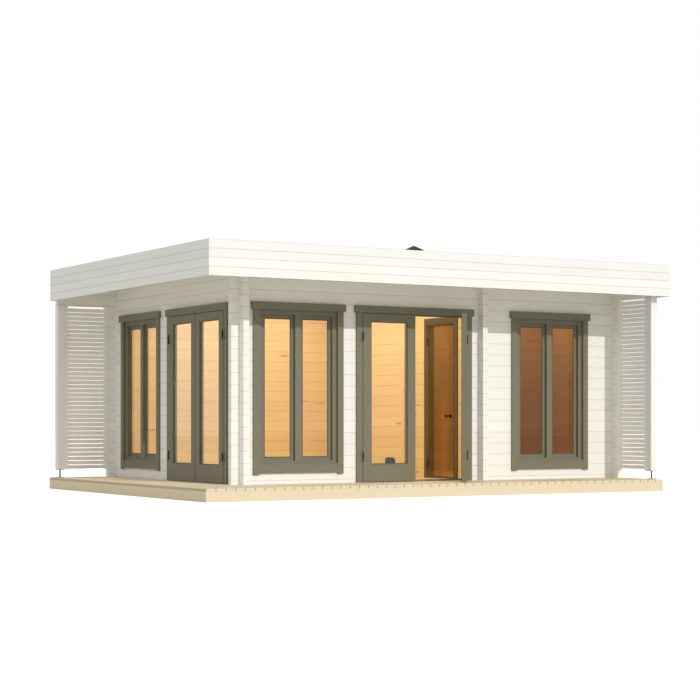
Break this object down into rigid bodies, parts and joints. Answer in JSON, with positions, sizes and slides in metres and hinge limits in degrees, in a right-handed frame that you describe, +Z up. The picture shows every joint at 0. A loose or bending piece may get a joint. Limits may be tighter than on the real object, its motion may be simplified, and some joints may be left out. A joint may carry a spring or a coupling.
{
  "type": "sauna summerhouse",
  "caption": "Log-walled sauna summerhouse with a flat overhanging roof, a timber deck, louvre screens, tall windows and glazed double doors.",
  "frame": {"origin": "middle of the overall footprint, on the ground", "axes": "+X along the front to the right, +Y to the rear, +Z up"},
  "size_m": [6.2, 4.536, 3.111],
  "materials": {
    "white_timber": "satin",
    "olive_timber": "satin",
    "deck_timber": "matte",
    "inner_timber": "satin",
    "dark_timber": "satin",
    "clear_glass": "gloss",
    "bronze_glass": "gloss",
    "roof_cover": "matte",
    "galvanised": "satin",
    "dark_fittings": "satin",
    "black_iron": "matte"
  },
  "bodies": {
    "cabin": {"frame_along_x": "deck_timber", "frame_along_y": "deck_timber", "deck_boards": "deck_timber", "floor": "inner_timber", "front_wall_left": "white_timber", "front_wall_right": "white_timber", "side_wall_front": "white_timber", "side_wall_rear": "white_timber", "rear_wall": "white_timber", "right_wall": "white_timber", "partition": "inner_timber", "cross_wall": "inner_timber", "over_door_logs": "white_timber", "roof_beams": "white_timber", "posts": "white_timber", "post_feet": "galvanised", "rear_screen": "white_timber", "right_screen": "white_timber", "ceiling": "white_timber", "roof_joists": "inner_timber", "roof_boards": "roof_cover", "fascia_front": "white_timber", "fascia_left": "white_timber", "fascia_rear": "white_timber", "fascia_right": "white_timber", "front_window": "olive_timber", "right_window": "olive_timber", "side_window": "olive_timber", "window_glass": "clear_glass", "front_door_frame": "olive_timber", "side_door_frame": "olive_timber", "sauna_door_frame": "dark_timber", "firing_door": "black_iron", "chimney_pipe": "black_iron", "chimney_cap": "black_iron"},
    "front_left_leaf": {"front_leaf_left": "olive_timber", "front_leaf_left_glass": "clear_glass"},
    "front_right_leaf": {"front_leaf_right": "olive_timber", "front_leaf_right_glass": "clear_glass"},
    "side_far_leaf": {"side_leaf_far": "olive_timber", "side_leaf_far_glass": "clear_glass"},
    "side_near_leaf": {"side_leaf_near": "olive_timber", "side_leaf_near_glass": "clear_glass"},
    "sauna_leaf": {"sauna_door_glass": "bronze_glass", "sauna_door_fittings": "dark_fittings"}
  },
  "joints": [
    {"name": "front_left_hinge", "type": "hinge", "parent": "cabin", "child": "front_left_leaf", "pos_m": [-0.7085, -1.411, 0.438], "axis": [0, 0, -1], "range_deg": [0, 150]},
    {"name": "front_right_hinge", "type": "hinge", "parent": "cabin", "child": "front_right_leaf", "pos_m": [0.7245, -1.411, 0.438], "axis": [0, 0, 1], "range_deg": [-56, 94]},
    {"name": "side_far_hinge", "type": "hinge", "parent": "cabin", "child": "side_far_leaf", "pos_m": [-2.313, 0.4015, 0.438], "axis": [0, 0, -1], "range_deg": [0, 150]},
    {"name": "side_near_hinge", "type": "hinge", "parent": "cabin", "child": "side_near_leaf", "pos_m": [-2.313, -1.0315, 0.438], "axis": [0, 0, 1], "range_deg": [0, 150]},
    {"name": "sauna_hinge", "type": "hinge", "parent": "cabin", "child": "sauna_leaf", "pos_m": [0.889, -0.278, 0.316], "axis": [0, 0, -1], "range_deg": [0, 100]}
  ]
}
